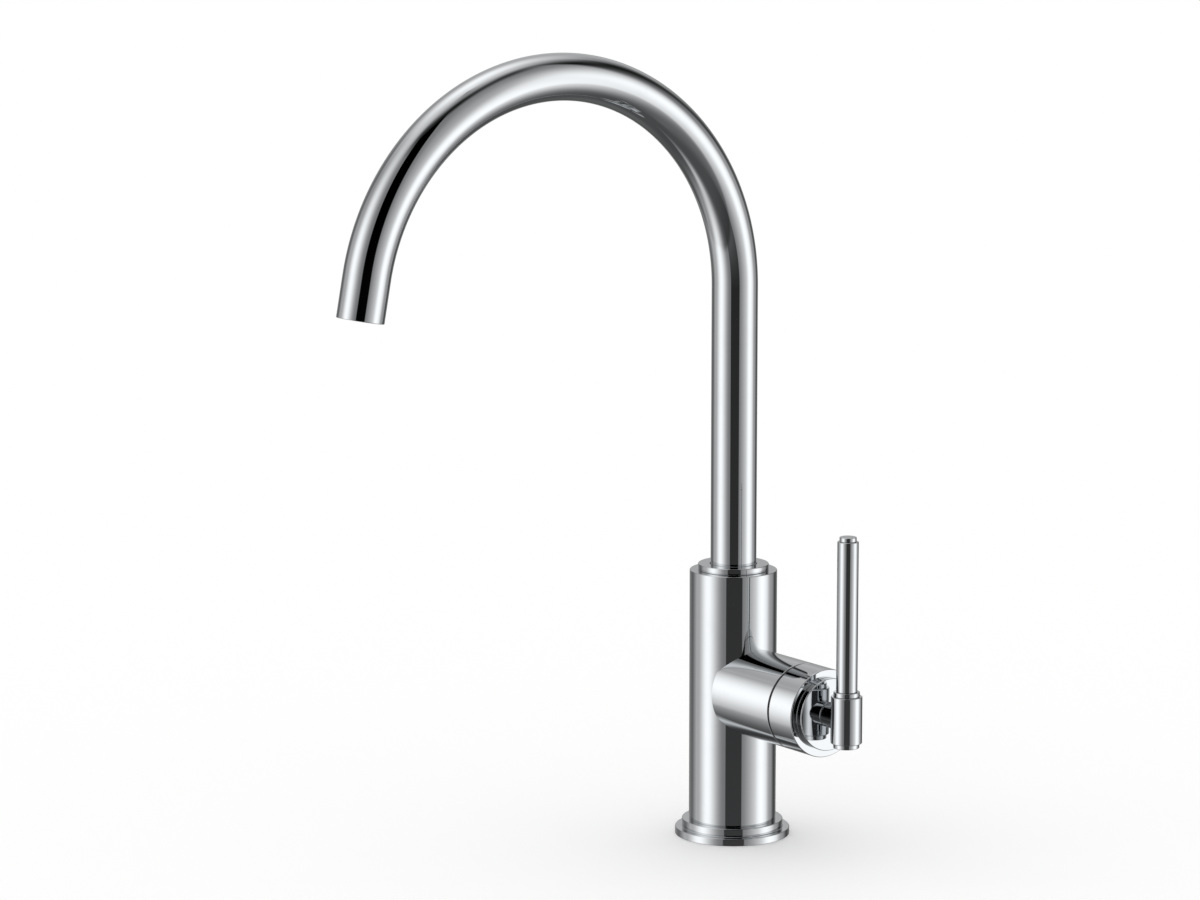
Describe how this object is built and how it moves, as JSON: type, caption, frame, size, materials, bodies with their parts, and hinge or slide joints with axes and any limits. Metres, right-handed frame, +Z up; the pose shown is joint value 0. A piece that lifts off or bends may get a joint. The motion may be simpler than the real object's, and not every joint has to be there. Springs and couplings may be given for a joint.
{
  "type": "kitchen tap",
  "caption": "Chrome gooseneck kitchen tap with a swivelling spout, a stepped base flange and a pin lever on a side housing for mixed and filtered water.",
  "frame": {"origin": "on the deck, at the centre of the base flange and on the axis of the column and the spout's swivel", "axes": "+Z up along the column; -Y the way the spout points, to the user; +X along the side housing, to the lever"},
  "size_m": [0.123, 0.2493, 0.3828],
  "materials": {
    "chrome_plate": "polished",
    "bare_brass": "machined",
    "rubber_seal": "matte",
    "white_acetal": "moulded",
    "black_acetal": "moulded",
    "grey_plastic": "moulded",
    "clear_tube": "smooth",
    "ceramic": "ground",
    "steel_screw": "turned"
  },
  "bodies": {
    "root": {"base_flange": "chrome_plate", "base_gasket": "rubber_seal", "inlet_block": "bare_brass", "inlet_seals": "rubber_seal", "body_tube": "chrome_plate", "body_core": "bare_brass", "side_housing": "chrome_plate", "top_collar": "chrome_plate", "spout_slide_ring": "white_acetal", "swivel_stop_ring": "black_acetal", "filter_spigot": "bare_brass", "filter_o_ring": "rubber_seal", "cartridge_base": "white_acetal", "cartridge_seals": "rubber_seal", "fixed_disc": "ceramic", "cartridge_shell": "white_acetal", "cartridge_nut": "bare_brass", "cap_slide_ring": "black_acetal"},
    "spout": {"spout_tail": "bare_brass", "tail_o_rings": "rubber_seal", "spout_tube": "chrome_plate", "filter_tube": "clear_tube", "outlet_seat_ring": "bare_brass", "aerator_seal": "rubber_seal", "aerator_housing": "chrome_plate", "aerator_insert": "grey_plastic", "filter_nozzle": "white_acetal"},
    "lever": {"moving_disc": "ceramic", "disc_carrier": "white_acetal", "spindle": "bare_brass", "spindle_o_ring": "rubber_seal", "handle_cap": "chrome_plate", "handle_screw": "steel_screw", "face_disc": "chrome_plate", "lever_stem": "chrome_plate", "lever_hub": "chrome_plate", "rod_collar": "chrome_plate", "hub_plug": "chrome_plate", "stem_set_screw": "steel_screw", "lever_rod": "chrome_plate", "lever_tip": "chrome_plate"}
  },
  "joints": [
    {"name": "spout_swivel", "type": "hinge", "parent": "root", "child": "spout", "pos_m": [0, 0, 0.12], "axis": [0, 0, 1], "range_deg": [-75, 75]},
    {"name": "lever_turn", "type": "hinge", "parent": "root", "child": "lever", "pos_m": [0.0554, 0, 0.0725], "axis": [1, 0, 0], "range_deg": [-60, 90]}
  ]
}
